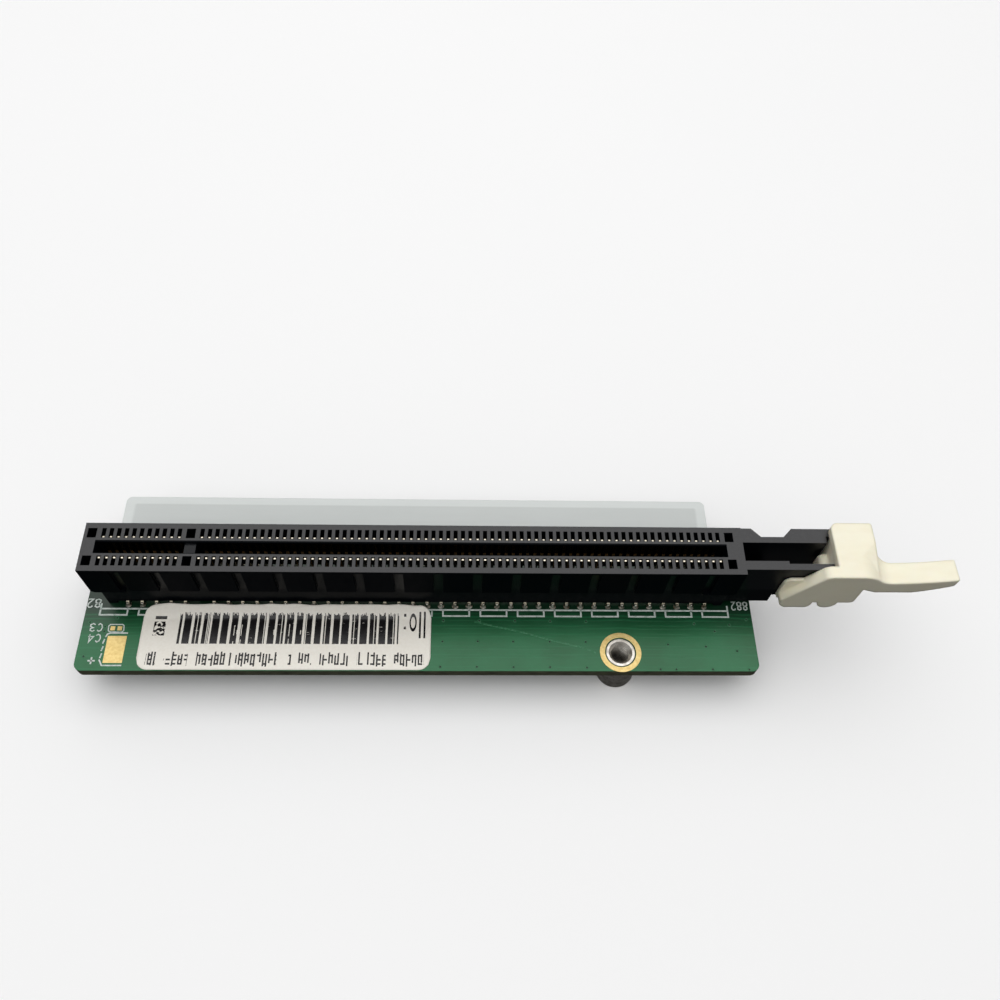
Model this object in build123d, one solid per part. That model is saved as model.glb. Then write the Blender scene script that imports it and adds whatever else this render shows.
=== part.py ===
from build123d import *
import math
import os

# Riser card for a small server: a flat circuit board that plugs into the main
# board by its edge tongue and carries a 164-contact card slot with a latch.
# Millimetres. X runs along the slot, Y from the label edge to the tongue, +Z up
# out of the slot. The origin is the slot's key, on the board's top face.

# Slot contacts
contact_pitch = 1.0
contacts_before_key = 11
contacts_after_key = 71
key_gap = 3.0               # between the two contacts beside the key
contact_width = 0.4
contact_thickness = 0.2
contact_bump_y = 0.95       # where a beam would press on the card's edge
contact_bump_z = 7.3
contact_tip_y = 1.56        # tip that shows in the pocket
contact_tip_z = 11.1
outer_tail_gap = 0.2        # from the housing's wall to the outer row of tails
inner_tail_y = 1.25
tail_below_board = 1.0      # its end tapers to an edge, for threading through the board
tail_foot_z = 0.35          # where an outer tail turns in under the housing
tail_knee_gap = 0.6         # from the trench wall to the knee above the turn
tail_knee_z = 1.0

# Slot housing
slot_end_before = 2.6       # housing past the first contact
slot_end_after = 3.4        # housing past the last contact
housing_width = 7.2
housing_top_z = 11.25
pad_height = 0.55           # raised pads, over the wall between and below them
wall_thickness = 0.25
housing_bottom_z = 0.8
housing_end_inset = 0.9     # lower body set in from the upper one at each end
rim_thickness = 0.5
pad_bottom_z = 5.1
end_pad_bottom_z = 4.65     # the pads at both ends reach lower
end_pad_corner = 0.4
pad_pitch = 16 / 3
pad_groove_width = 1.3
first_groove_after_end = 4.65
groove_count = 16
pocket_width = 0.56
pocket_inner_y = 1.35
pocket_depth = 0.5
blank_pocket_width = 1.2
blank_pocket_depth = 4.0
blank_pocket_offset = 1.55  # beside the first and the last contact
trench_margin = 0.6
tie_rib_every = 24
tie_rib_width = 0.3
card_slot_width = 1.7
card_slot_depth = 8.45
card_slot_margin_before = 0.9
card_slot_margin_after = 1.1
card_slot_lead_in = 0.15
key_width = 1.5
key_below_top = 0.6
foot_width = 1.2

# Arms that carry the latch, at the end of the housing
arm_front_inset = 0.75      # from the housing's pads to the front arm's outer face
arm_front_thickness = 1.33
arm_front_tip_thickness = 0.92
arm_front_relief_x = 80.9
arm_rear_inset = 0.1
arm_rear_thickness = 2.2
arm_rear_tip_thickness = 1.21
arm_rear_relief_x = 86.7
arm_flex_depth = 1.3        # how far the outer face of the rear arm steps in where it flexes
arm_flex_start_x = 76.35
arm_flex_end_x = 81.99
arm_flex_slope = 1.25
arm_bottom_z = 1.3
arm_raised_z = 3.4
arm_step_x = 80.5
arm_end_x = 90.6
arm_floor_thickness = 1.2
arm_seat_z = 2.7            # underside of the seats for the latch's pin
arm_seat_length = 1.8
arm_seat_slope = 0.65
arm_seat_mouth = 0.9        # opening the pin snaps through, as a share of its diameter

# Latch
latch_pivot_x = 87.8
latch_pivot_z = 4.6
latch_pin_radius = 0.75
latch_pin_clearance = 0.05
latch_gap = 0.1             # side clearance beside each arm
latch_rest_gap = 0.05       # under the plate, above the arms
latch_hub_radius = 1.4
latch_front_overhang = 1.85 # cheek, past the front arm
latch_rear_overhang = 0.25
latch_plate_left_x = 87.1
latch_plate_right_x = 92.9
latch_plate_top_z = 12.55
latch_plate_left_corner = 1.0
latch_plate_right_corner = 0.4
latch_plate_fall = 2.4      # stretch before the right edge where the top falls to the handle
latch_fall_slope = 0.2
latch_leg_left_x = 87.3
latch_leg_right_x = 90.1
latch_leg_hub_radius = 1.05 # round the pin, between the arms
latch_hook_reach = 1.1
latch_hook_top_z = 9.0
latch_hook_round = 0.9
latch_hook_height = 2.6
latch_hook_under_run = 1.0  # how far its underside slopes down into the leg
latch_hook_side_gap = 0.5   # beside the rear arm
latch_foot_left_x = 80.9
latch_foot_bottom_z = 3.25
latch_foot_right_x = 85.1
latch_heel_length = 1.15
latch_heel_height = 2.1
latch_waist_z = 4.8
latch_waist_run = 0.5       # how far the step up from the foot to the waist runs
latch_cheek_right_x = 91.38
latch_cheek_corner = 0.6
latch_shoulder_x = 85.0
latch_shoulder_run = 1.5
latch_shoulder_drop = 0.9
latch_guide_left_x = 80.8
latch_guide_top_z = 9.1
latch_guide_thickness = 0.45
latch_guide_right_x = 85.5
latch_guide_corner = 1.2
latch_handle_width = 3.2
latch_handle_end_x = 103.85
latch_handle_dip_x = 95.1
latch_handle_dip_z = 10.8
latch_handle_rise_x = 92.7  # where the hollow turns over into the plate's slope
latch_handle_rise_z = 11.65
latch_handle_end_z = 11.95
latch_handle_under_z = 8.2
latch_handle_under_start_x = 93.2
latch_handle_under_end_x = 98.3
latch_handle_tip_under_z = 10.4
latch_handle_step = 0.75    # underside of the handle steps down from the cheek's end
latch_handle_bow = 0.2      # how far its curved runs stand off their chords
latch_tip_round = 0.35
latch_tip_corner = 0.6
latch_blend_radius = 2.4

# Circuit board
board_left_x = -16.25
board_length = 94.5
board_front_y = -13.1
board_rear_y = 5.25
board_thickness = 1.6
board_corner = 1.1
tongue_rear_y = 13.5
tongue_margin = 1.0         # tongue past its first and last finger
tongue_bevel = 0.4
key_notch_width = 1.9
key_notch_depth = 7.0
tail_hole = 0.7

# Threaded standoff pressed in from below, and its gilded ring
standoff_x = 58.8
standoff_y = -10.3
standoff_height = 5.0
standoff_radius = 2.78
standoff_neck_radius = 2.1
standoff_neck_fit = 0.02
standoff_bore_radius = 1.25
standoff_mouth = 0.4
ring_outer_radius = 2.92
ring_inner_radius = 2.2
plating_thickness = 0.05

# Bare gilded pads for capacitors that this board goes without
large_pad_x = -11.14
large_pad_y = -10.02
large_pad_width = 2.6
large_pad_length = 3.95
small_pad_size = 0.62
small_pad_y = -6.95
small_pad_x = -10.78
small_pad_spacing = 1.05

# Paper label
label_left_x = -7.8
label_length = 39.9
label_front_y = -12.35
label_tail_gap = 0.3        # from the front row of tails to the label
label_thickness = 0.1
label_corner = 1.7

# Frosted guard slid over the tongue
guard_left_x = -13.6
guard_right_x = 73.45
guard_front_y = 6.2
guard_rear_y = 14.05
guard_wall = 0.5
guard_gap = 0.1
guard_corner = 0.8

first_contact_x = -(key_gap / 2 + (contacts_before_key - 1) * contact_pitch)
last_contact_x = key_gap / 2 + (contacts_after_key - 1) * contact_pitch
housing_left_x = first_contact_x - slot_end_before
housing_right_x = last_contact_x + slot_end_after
housing_pad_y = housing_width / 2
housing_wall_y = housing_pad_y - pad_height
pocket_outer_y = housing_wall_y - wall_thickness
outer_tail_y = housing_wall_y + outer_tail_gap
label_rear_y = -outer_tail_y - label_tail_gap
card_slot_floor_z = housing_top_z - card_slot_depth
pocket_floor_z = housing_top_z - pocket_depth
arm_front_outer_y = arm_front_inset - housing_pad_y
arm_front_inner_y = arm_front_outer_y + arm_front_thickness
arm_front_relief_y = arm_front_outer_y + arm_front_tip_thickness
arm_rear_outer_y = housing_pad_y - arm_rear_inset
arm_rear_inner_y = arm_rear_outer_y - arm_rear_thickness
arm_rear_relief_y = arm_rear_outer_y - arm_rear_tip_thickness
arm_flex_y = arm_rear_outer_y - arm_flex_depth
latch_front_y = arm_front_outer_y - latch_front_overhang
latch_rear_y = arm_rear_outer_y + latch_rear_overhang
latch_handle_rear_y = latch_front_y + latch_handle_width


def block(x0, x1, y0, y1, z0, z1):
    """A box between two corners."""
    size = Box(x1 - x0, y1 - y0, z1 - z0)
    return Pos((x0 + x1) / 2, (y0 + y1) / 2, (z0 + z1) / 2) * size


def contact_columns():
    """X of every contact column, from the short end to the latch end."""
    before = [first_contact_x + i * contact_pitch for i in range(contacts_before_key)]
    after = [key_gap / 2 + i * contact_pitch for i in range(contacts_after_key)]
    return before, after


def tail_columns(parity):
    """Every second column, so that neighbouring tails alternate between two rows."""
    before, after = contact_columns()
    return before[parity::2] + after[1 - parity::2]


def side_profile(edges, y0, y1):
    """A closed XZ outline made solid from y0 to y1."""
    face = make_face(Plane.XZ * edges)
    return Pos(0, (y0 + y1) / 2, 0) * extrude(face, amount=(y1 - y0) / 2, both=True)


# Circuit board

def circuit_board():
    main = Pos(board_left_x + board_length / 2, (board_front_y + board_rear_y) / 2)
    outline = main * Rectangle(board_length, board_rear_y - board_front_y)
    outline = fillet(outline.vertices(), board_corner)
    tongue_left = first_contact_x - tongue_margin
    tongue_right = last_contact_x + tongue_margin
    overlap = board_corner
    tongue = Pos((tongue_left + tongue_right) / 2, (board_rear_y - overlap + tongue_rear_y) / 2)
    outline += tongue * Rectangle(tongue_right - tongue_left, tongue_rear_y - board_rear_y + overlap)
    outline -= Pos(0, tongue_rear_y) * Rectangle(key_notch_width, 2 * key_notch_depth)
    holes = []
    for parity, y in tail_rows():
        for x in tail_columns(parity):
            holes.append(Pos(x, y) * Rectangle(tail_hole, tail_hole))
    neck = Pos(standoff_x, standoff_y) * Circle(standoff_neck_radius + standoff_neck_fit)
    outline -= holes + [neck]
    board = Pos(0, 0, -board_thickness) * extrude(outline, amount=board_thickness)
    tongue_edges = board.edges().filter_by(Axis.X).group_by(Axis.Y)[-1]
    return chamfer(tongue_edges, tongue_bevel)


def tail_rows():
    """Parity of the columns and Y of the four rows of tails."""
    return [(1, -outer_tail_y), (0, -inner_tail_y), (1, inner_tail_y), (0, outer_tail_y)]


# Contacts

def strip_outline(points, thickness):
    """The outline of a bent strip of even thickness along its centre line."""
    half = thickness / 2
    left = []
    right = []
    for i, (y, z) in enumerate(points):
        before = points[max(i - 1, 0)]
        after = points[min(i + 1, len(points) - 1)]
        turns = []
        for a, b in ((before, (y, z)), ((y, z), after)):
            length = math.dist(a, b)
            if length > 0:
                turns.append(((b[0] - a[0]) / length, (b[1] - a[1]) / length))
        along_y = sum(t[0] for t in turns)
        along_z = sum(t[1] for t in turns)
        size = math.hypot(along_y, along_z)
        normal = (-along_z / size, along_y / size)
        first = turns[0]
        reach = half / (normal[0] * -first[1] + normal[1] * first[0])
        left.append((y + normal[0] * reach, z + normal[1] * reach))
        right.append((y - normal[0] * reach, z - normal[1] * reach))
    return left + right[::-1]


def contact(tail_y):
    """One stamped contact on the +Y side: tail, beam, bump and tip."""
    tail_end_z = -board_thickness - tail_below_board
    path = [(tail_y, tail_end_z)]
    if tail_y > pocket_outer_y:
        path += [(tail_y, tail_foot_z), (pocket_outer_y - tail_knee_gap, tail_knee_z)]
    path += [(contact_bump_y, contact_bump_z), (contact_tip_y, contact_tip_z)]
    outline = [path[0]] + strip_outline(path, contact_thickness)[1:-1]
    face = make_face(Plane.YZ * Polyline(*outline, close=True))
    return extrude(face, amount=contact_width / 2, both=True)


def contact_row(parity, y):
    """All contacts of one row of tails, as separate solids."""
    one = contact(abs(y))
    if y < 0:
        one = Rot(0, 0, 180) * one
    return Compound([Pos(x, 0, 0) * one for x in tail_columns(parity)])


# Slot housing

def housing_body():
    """Upper and lower body with raised pads along both walls, and two feet."""
    half = housing_pad_y
    body = block(housing_left_x, housing_right_x, -half, half, pad_bottom_z, housing_top_z)
    end_pad = first_groove_after_end
    for x0, side in ((housing_left_x, 0), (housing_right_x - end_pad, -1)):
        pad = block(x0, x0 + end_pad, -half, half, end_pad_bottom_z, pad_bottom_z)
        low_edges = pad.edges().filter_by(Axis.Y).group_by(Axis.Z)[0]
        body += chamfer(low_edges.sort_by(Axis.X)[side], end_pad_corner)
    grooves = []
    for i in range(groove_count):
        x = housing_left_x + first_groove_after_end + i * pad_pitch
        for side in (-1, 1):
            y = side * (housing_wall_y + half) / 2
            z = (pad_bottom_z + housing_top_z - rim_thickness) / 2
            height = housing_top_z - rim_thickness - pad_bottom_z
            grooves.append(Pos(x, y, z) * Box(pad_groove_width, pad_height, height))
    body -= grooves
    lower_left = housing_left_x + housing_end_inset
    lower_right = housing_right_x - housing_end_inset
    body += block(lower_left, lower_right, -housing_wall_y, housing_wall_y, housing_bottom_z, pad_bottom_z)
    for x0 in (lower_left, lower_right - foot_width):
        body += block(x0, x0 + foot_width, -housing_wall_y, housing_wall_y, 0, housing_bottom_z)
    return body


def arm_profile():
    """Side view of both arms, rounded about the pivot so that the latch can roll over them."""
    x0 = housing_right_x - housing_end_inset
    roll = housing_top_z - latch_pivot_z
    end_z = latch_pivot_z + math.sqrt(roll ** 2 - (arm_end_x - latch_pivot_x) ** 2)
    points = [(latch_pivot_x, housing_top_z), (x0, housing_top_z), (x0, arm_bottom_z)]
    points += [(arm_step_x, arm_bottom_z), (arm_step_x, arm_raised_z)]
    seat = arm_seat_length / 2
    points += [(latch_pivot_x - seat - arm_seat_slope, arm_raised_z), (latch_pivot_x - seat, arm_seat_z)]
    points += [(latch_pivot_x + seat, arm_seat_z), (latch_pivot_x + seat + arm_seat_slope, arm_raised_z)]
    points += [(arm_end_x, arm_raised_z), (arm_end_x, end_z)]
    middle = (arm_end_x - latch_pivot_x) / 2
    top = (latch_pivot_x + middle, latch_pivot_z + math.sqrt(roll ** 2 - middle ** 2))
    outline = Polyline(*points) + ThreePointArc(points[-1], top, points[0])
    return outline


def arms():
    """The two arms, the floor between them and the open seats for the latch's pin."""
    x0 = housing_right_x - housing_end_inset
    front = side_profile(arm_profile(), arm_front_outer_y, arm_front_inner_y)
    front -= block(arm_front_relief_x, arm_end_x, arm_front_relief_y, arm_front_inner_y,
                   0, housing_top_z)
    rear = side_profile(arm_profile(), arm_rear_inner_y, arm_rear_outer_y)
    rear -= block(arm_rear_relief_x, arm_end_x, arm_rear_inner_y, arm_rear_relief_y,
                  0, housing_top_z)
    flex = Polyline((arm_flex_start_x, arm_rear_outer_y),
                    (arm_flex_start_x + arm_flex_slope, arm_flex_y),
                    (arm_flex_end_x - arm_flex_slope, arm_flex_y),
                    (arm_flex_end_x, arm_rear_outer_y), close=True)
    rear -= extrude(make_face(flex), amount=housing_top_z)
    floor = block(x0, arm_step_x, arm_front_inner_y, arm_rear_inner_y,
                  arm_bottom_z, arm_bottom_z + arm_floor_thickness)
    both = front + rear + floor
    hole_radius = latch_pin_radius + latch_pin_clearance
    hole = Cylinder(hole_radius, housing_width * 2, rotation=(90, 0, 0))
    both -= Pos(latch_pivot_x, 0, latch_pivot_z) * hole
    snap = latch_pin_radius * arm_seat_mouth
    both -= block(latch_pivot_x, arm_end_x, -housing_width, housing_width,
                  latch_pivot_z - snap, latch_pivot_z + snap)
    return both


def slot_housing():
    body = housing_body() + arms()
    half_slot = card_slot_width / 2
    slot_left = first_contact_x - card_slot_margin_before
    slot_right = last_contact_x + card_slot_margin_after
    cuts = [block(slot_left, slot_right, -half_slot, half_slot, card_slot_floor_z, housing_top_z)]
    lead = card_slot_lead_in
    lead_in = Polyline((-half_slot - lead, housing_top_z), (-half_slot, housing_top_z - lead),
                       (half_slot, housing_top_z - lead), (half_slot + lead, housing_top_z), close=True)
    lead_in = extrude(make_face(Plane.YZ * lead_in), amount=(slot_right - slot_left) / 2, both=True)
    cuts.append(Pos((slot_left + slot_right) / 2, 0, 0) * lead_in)
    before, after = contact_columns()
    for group in (before, after):
        x0 = group[0] - trench_margin
        x1 = group[-1] + trench_margin
        ribs = [block(group[i] - contact_pitch / 2 - tie_rib_width / 2,
                      group[i] - contact_pitch / 2 + tie_rib_width / 2,
                      -housing_width, housing_width, 0, card_slot_floor_z)
                for i in range(tie_rib_every, len(group) - 1, tie_rib_every)]
        for side in (-1, 1):
            y = side * (half_slot + pocket_outer_y) / 2
            z = (housing_bottom_z + pocket_floor_z) / 2
            trench = Pos((x0 + x1) / 2, y, z) * Box(x1 - x0, pocket_outer_y - half_slot,
                                                    pocket_floor_z - housing_bottom_z)
            cuts.append(trench - ribs if ribs else trench)
    body -= cuts
    pockets = []
    y = (pocket_inner_y + pocket_outer_y) / 2
    z = (pocket_floor_z + housing_top_z) / 2
    pocket = Box(pocket_width, pocket_outer_y - pocket_inner_y, pocket_depth)
    blank = Box(blank_pocket_width, pocket_outer_y - pocket_inner_y, blank_pocket_depth)
    blank_xs = (first_contact_x - blank_pocket_offset, 0, last_contact_x + blank_pocket_offset)
    for side in (-1, 1):
        pockets += [Pos(x, side * y, z) * pocket for x in before + after]
        pockets += [Pos(x, side * y, housing_top_z - blank_pocket_depth / 2) * blank for x in blank_xs]
    body -= pockets
    key_top = housing_top_z - key_below_top
    body += block(-key_width / 2, key_width / 2, -half_slot, half_slot, card_slot_floor_z, key_top)
    return body


# Latch

def bowed(start, end, bow):
    """A shallow arc between two points of an XZ outline, its middle standing off the chord."""
    run = (end[0] - start[0], end[1] - start[1])
    length = math.hypot(*run)
    middle = ((start[0] + end[0]) / 2 - run[1] / length * bow,
              (start[1] + end[1]) / 2 + run[0] / length * bow)
    return ThreePointArc(start, middle, end)


def latch_front_outline():
    """Side view of the cheek and handle: foot, waist, hub, handle, and the sloping front edge."""
    foot = latch_foot_bottom_z
    waist = latch_waist_z
    top = latch_plate_top_z
    left = latch_foot_left_x
    right = latch_cheek_right_x
    tip = latch_handle_end_x
    corner = latch_cheek_corner
    heel_top = (left, foot + latch_heel_height)
    heel_low = (left + latch_heel_length, foot)
    foot_end = (latch_foot_right_x, foot)
    waist_start = (latch_foot_right_x + latch_waist_run, waist)
    hub_side = math.sqrt(latch_hub_radius ** 2 - (waist - latch_pivot_z) ** 2)
    hub_left = (latch_pivot_x - hub_side, waist)
    hub_right = (latch_pivot_x + hub_side, waist)
    hub_low = (latch_pivot_x, latch_pivot_z - latch_hub_radius)
    cheek_low = (right - corner, waist)
    cheek_high = (right, waist + corner)
    joint = (right, latch_handle_under_z + latch_handle_step)
    under_start = (latch_handle_under_start_x, latch_handle_under_z)
    under_end = (latch_handle_under_end_x, latch_handle_under_z)
    tip_low = (tip - latch_tip_round, latch_handle_tip_under_z)
    tip_high = (tip - latch_tip_round, latch_handle_end_z)
    tip_middle = (tip, (latch_handle_tip_under_z + latch_handle_end_z) / 2)
    dip = (latch_handle_dip_x, latch_handle_dip_z)
    rise = (latch_handle_rise_x, latch_handle_rise_z)
    plate_end = (latch_plate_right_x - latch_plate_fall, top)
    shoulder_high = (latch_shoulder_x + latch_shoulder_run, top)
    shoulder_low = (latch_shoulder_x, top - latch_shoulder_drop)
    bow = latch_handle_bow
    lines = bowed(heel_top, heel_low, -2 * bow) + Line(heel_low, foot_end)
    lines += bowed(foot_end, waist_start, -bow) + Line(waist_start, hub_left)
    lines += ThreePointArc(hub_left, hub_low, hub_right) + Line(hub_right, cheek_low)
    lines += bowed(cheek_low, cheek_high, -corner * (1 - math.sqrt(0.5)))
    lines += Line(cheek_high, joint) + Line(joint, under_start) + Line(under_start, under_end)
    lines += bowed(under_end, tip_low, -bow) + ThreePointArc(tip_low, tip_middle, tip_high)
    lines += bowed(tip_high, dip, bow) + bowed(dip, rise, 1.5 * bow)
    lines += bowed(rise, plate_end, -bow) + Line(plate_end, shoulder_high)
    lines += bowed(shoulder_high, shoulder_low, -1.5 * bow) + Line(shoulder_low, heel_top)
    return lines


def latch_front():
    """Cheek and handle, the handle wider and blended into the plate by a gusset."""
    blend = latch_handle_rear_y + latch_blend_radius
    band = side_profile(latch_front_outline(), latch_front_y, blend)
    corner = (latch_plate_right_x + latch_blend_radius, latch_handle_rear_y)
    arc_middle = latch_blend_radius * (1 - math.sqrt(0.5))
    plan = Polyline((latch_plate_right_x, blend), (latch_cheek_right_x, blend),
                    (latch_cheek_right_x, latch_handle_rear_y), (latch_plate_left_x, latch_handle_rear_y),
                    (latch_plate_left_x, arm_front_outer_y - latch_gap),
                    (latch_guide_left_x - 1, arm_front_outer_y - latch_gap),
                    (latch_guide_left_x - 1, latch_front_y), (latch_handle_end_x, latch_front_y),
                    (latch_handle_end_x, latch_handle_rear_y), corner)
    plan += ThreePointArc(corner, (latch_plate_right_x + arc_middle, latch_handle_rear_y + arc_middle),
                          (latch_plate_right_x, blend))
    mask = make_face(plan)
    tip = mask.vertices().group_by(Axis.X)[-1]
    mask = fillet(tip, latch_tip_corner)
    front = band & extrude(mask, amount=2 * latch_plate_top_z)
    above_arm = housing_top_z + latch_rest_gap
    return front - block(latch_guide_left_x - 1, latch_cheek_right_x, arm_front_outer_y - latch_gap, blend,
                         0, above_arm)


def latch_plate():
    """Flat plate across both arms, with rounded corners and a soft upper edge."""
    plan = Pos((latch_plate_left_x + latch_plate_right_x) / 2, (latch_front_y + latch_rear_y) / 2)
    plan *= Rectangle(latch_plate_right_x - latch_plate_left_x, latch_rear_y - latch_front_y)
    for side, radius in ((0, latch_plate_left_corner), (-1, latch_plate_right_corner)):
        corner = plan.vertices().group_by(Axis.X)[side].sort_by(Axis.Y)[-1]
        plan = fillet(corner, radius)
    bottom = housing_top_z + latch_rest_gap
    plate = Pos(0, 0, bottom) * extrude(plan, amount=latch_plate_top_z - bottom)
    fall = Plane((latch_plate_right_x - latch_plate_fall, latch_handle_rear_y, latch_plate_top_z),
                 x_dir=(1, 1, 0), z_dir=(latch_fall_slope, -latch_fall_slope, 1))
    size = 4 * latch_plate_fall
    return plate - fall * Pos(0, 0, size / 2) * Box(size, size, size)


def latch_hook():
    """Round-topped nose on the leg that drops into the card's notch."""
    right = latch_leg_left_x
    left = right - latch_hook_reach
    top = latch_hook_top_z
    low = top - latch_hook_height
    start = (left, top - latch_hook_round)
    end = (left + latch_hook_round, top)
    lines = bowed(start, end, latch_hook_round * (1 - math.sqrt(0.5)))
    lines += Polyline(end, (right, top), (right, low - latch_hook_under_run), (left, low), start)
    half_width = arm_rear_inner_y - latch_hook_side_gap
    return side_profile(lines, -half_width, half_width)


def retention_latch():
    """One moulding: cheek, handle, plate, inner leg with its pivot pin, and hook."""
    cheek_inner_y = arm_front_outer_y - latch_gap
    leg_front = arm_front_relief_y + latch_gap
    leg_rear = arm_rear_relief_y - latch_gap
    leg = block(latch_leg_left_x, latch_leg_right_x, leg_front, leg_rear,
                latch_pivot_z, housing_top_z + 2 * latch_rest_gap)
    hub = Cylinder(latch_leg_hub_radius, leg_rear - leg_front, rotation=(90, 0, 0))
    leg += Pos(latch_pivot_x, (leg_front + leg_rear) / 2, latch_pivot_z) * hub
    pin_front = cheek_inner_y
    pin_rear = arm_rear_outer_y
    pin = Cylinder(latch_pin_radius, pin_rear - pin_front, rotation=(90, 0, 0))
    pin = Pos(latch_pivot_x, (pin_front + pin_rear) / 2, latch_pivot_z) * pin
    guide_plan = Pos((latch_guide_left_x + latch_guide_right_x) / 2,
                     (latch_foot_bottom_z + latch_guide_top_z) / 2)
    guide_plan *= Rectangle(latch_guide_right_x - latch_guide_left_x, latch_guide_top_z - latch_foot_bottom_z)
    guide_plan = fillet(guide_plan.vertices().group_by(Axis.X)[0], latch_guide_corner)
    guide = Pos(0, cheek_inner_y, 0) * extrude(Plane.XZ * guide_plan, amount=latch_guide_thickness)
    return latch_front() + latch_plate() + leg + pin + latch_hook() + guide


# Small parts on the board

def threaded_standoff():
    bottom = -board_thickness - standoff_height
    body = Pos(0, 0, (bottom - board_thickness) / 2) * Cylinder(standoff_radius, standoff_height)
    body += Pos(0, 0, -board_thickness / 2) * Cylinder(standoff_neck_radius, board_thickness)
    body -= Pos(0, 0, bottom / 2) * Cylinder(standoff_bore_radius, -bottom)
    rims = body.edges().filter_by(GeomType.CIRCLE).group_by(Axis.Z)[-1]
    body = chamfer(rims.sort_by(SortBy.RADIUS)[0], standoff_mouth)
    return Pos(standoff_x, standoff_y, 0) * body


def standoff_ring():
    ring = Circle(ring_outer_radius) - Circle(ring_inner_radius)
    return Pos(standoff_x, standoff_y, 0) * extrude(ring, amount=plating_thickness)


def capacitor_pads():
    large = Box(large_pad_width, large_pad_length, plating_thickness)
    small = Box(small_pad_size, small_pad_size, plating_thickness)
    z = plating_thickness / 2
    pads = [Pos(large_pad_x, large_pad_y, z) * large]
    for i in range(2):
        pads.append(Pos(small_pad_x + i * small_pad_spacing, small_pad_y, z) * small)
    return Compound(pads)


def label():
    plan = Pos(label_left_x + label_length / 2, (label_front_y + label_rear_y) / 2)
    plan *= Rectangle(label_length, label_rear_y - label_front_y)
    plan = fillet(plan.vertices(), label_corner)
    return extrude(plan, amount=label_thickness)


def edge_guard():
    """Open-fronted sleeve around the tongue, its inner end seated on the tongue's edge."""
    top = guard_gap + guard_wall
    bottom = -board_thickness - top
    shell = block(guard_left_x, guard_right_x, guard_front_y, guard_rear_y, bottom, top)
    rear_corners = shell.edges().filter_by(Axis.Z).group_by(Axis.Y)[-1]
    shell = fillet(rear_corners, guard_corner)
    left = first_contact_x - tongue_margin - guard_gap
    right = last_contact_x + tongue_margin + guard_gap
    shell -= block(left, right, guard_front_y, tongue_rear_y, -board_thickness - guard_gap, guard_gap)
    return shell


nodes = {
    "circuit_board": circuit_board(),
    "slot_housing": slot_housing(),
    "front_outer_contacts": contact_row(*tail_rows()[0]),
    "front_inner_contacts": contact_row(*tail_rows()[1]),
    "rear_inner_contacts": contact_row(*tail_rows()[2]),
    "rear_outer_contacts": contact_row(*tail_rows()[3]),
    "retention_latch": retention_latch(),
    "threaded_standoff": threaded_standoff(),
    "standoff_ring": standoff_ring(),
    "capacitor_pads": capacitor_pads(),
    "label": label(),
    "edge_guard": edge_guard(),
}

os.makedirs("parts", exist_ok=True)
for name, shape in nodes.items():
    export_step(shape, f"parts/{name}.step")
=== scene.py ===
import math
import random

import bmesh
import bpy
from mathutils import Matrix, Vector, noise


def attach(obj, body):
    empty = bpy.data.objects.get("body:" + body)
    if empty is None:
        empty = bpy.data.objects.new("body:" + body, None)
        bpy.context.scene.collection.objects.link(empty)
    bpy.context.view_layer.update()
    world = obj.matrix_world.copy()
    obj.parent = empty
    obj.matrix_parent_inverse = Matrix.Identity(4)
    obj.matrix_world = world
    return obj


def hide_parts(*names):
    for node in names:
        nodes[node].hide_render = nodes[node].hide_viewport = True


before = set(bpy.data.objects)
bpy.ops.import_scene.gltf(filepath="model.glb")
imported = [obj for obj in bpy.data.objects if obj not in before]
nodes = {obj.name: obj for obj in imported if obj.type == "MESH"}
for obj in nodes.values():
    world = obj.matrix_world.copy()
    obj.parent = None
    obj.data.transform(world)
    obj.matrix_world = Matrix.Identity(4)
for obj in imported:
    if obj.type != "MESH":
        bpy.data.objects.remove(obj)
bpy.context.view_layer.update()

# Dresses the riser card: materials for its solids, and the print, solder, vias, label,
# thread and edge contacts that sit on them. Lengths in the dictionaries are millimetres
# in the model's own frame: X along the slot, Z up out of it, the board's top at Z = 0.

mm = 0.001

boardTop = 0.0
boardBottom = -1.6
standoffAxis = (58.8, -10.3)
columnsBeforeKey = [-11.5 + i for i in range(11)]
columnsAfterKey = [1.5 + i for i in range(71)]


def grey(value):
    return (value, value, value, 1.0)


def rgb(r, g, b):
    # a colour as a picture shows it, 0 to 255, made linear
    def linear(c):
        c = c / 255
        return c / 12.92 if c <= 0.04045 else ((c + 0.055) / 1.055) ** 2.4
    return (linear(r), linear(g), linear(b), 1.0)


# Shader expressions

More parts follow.
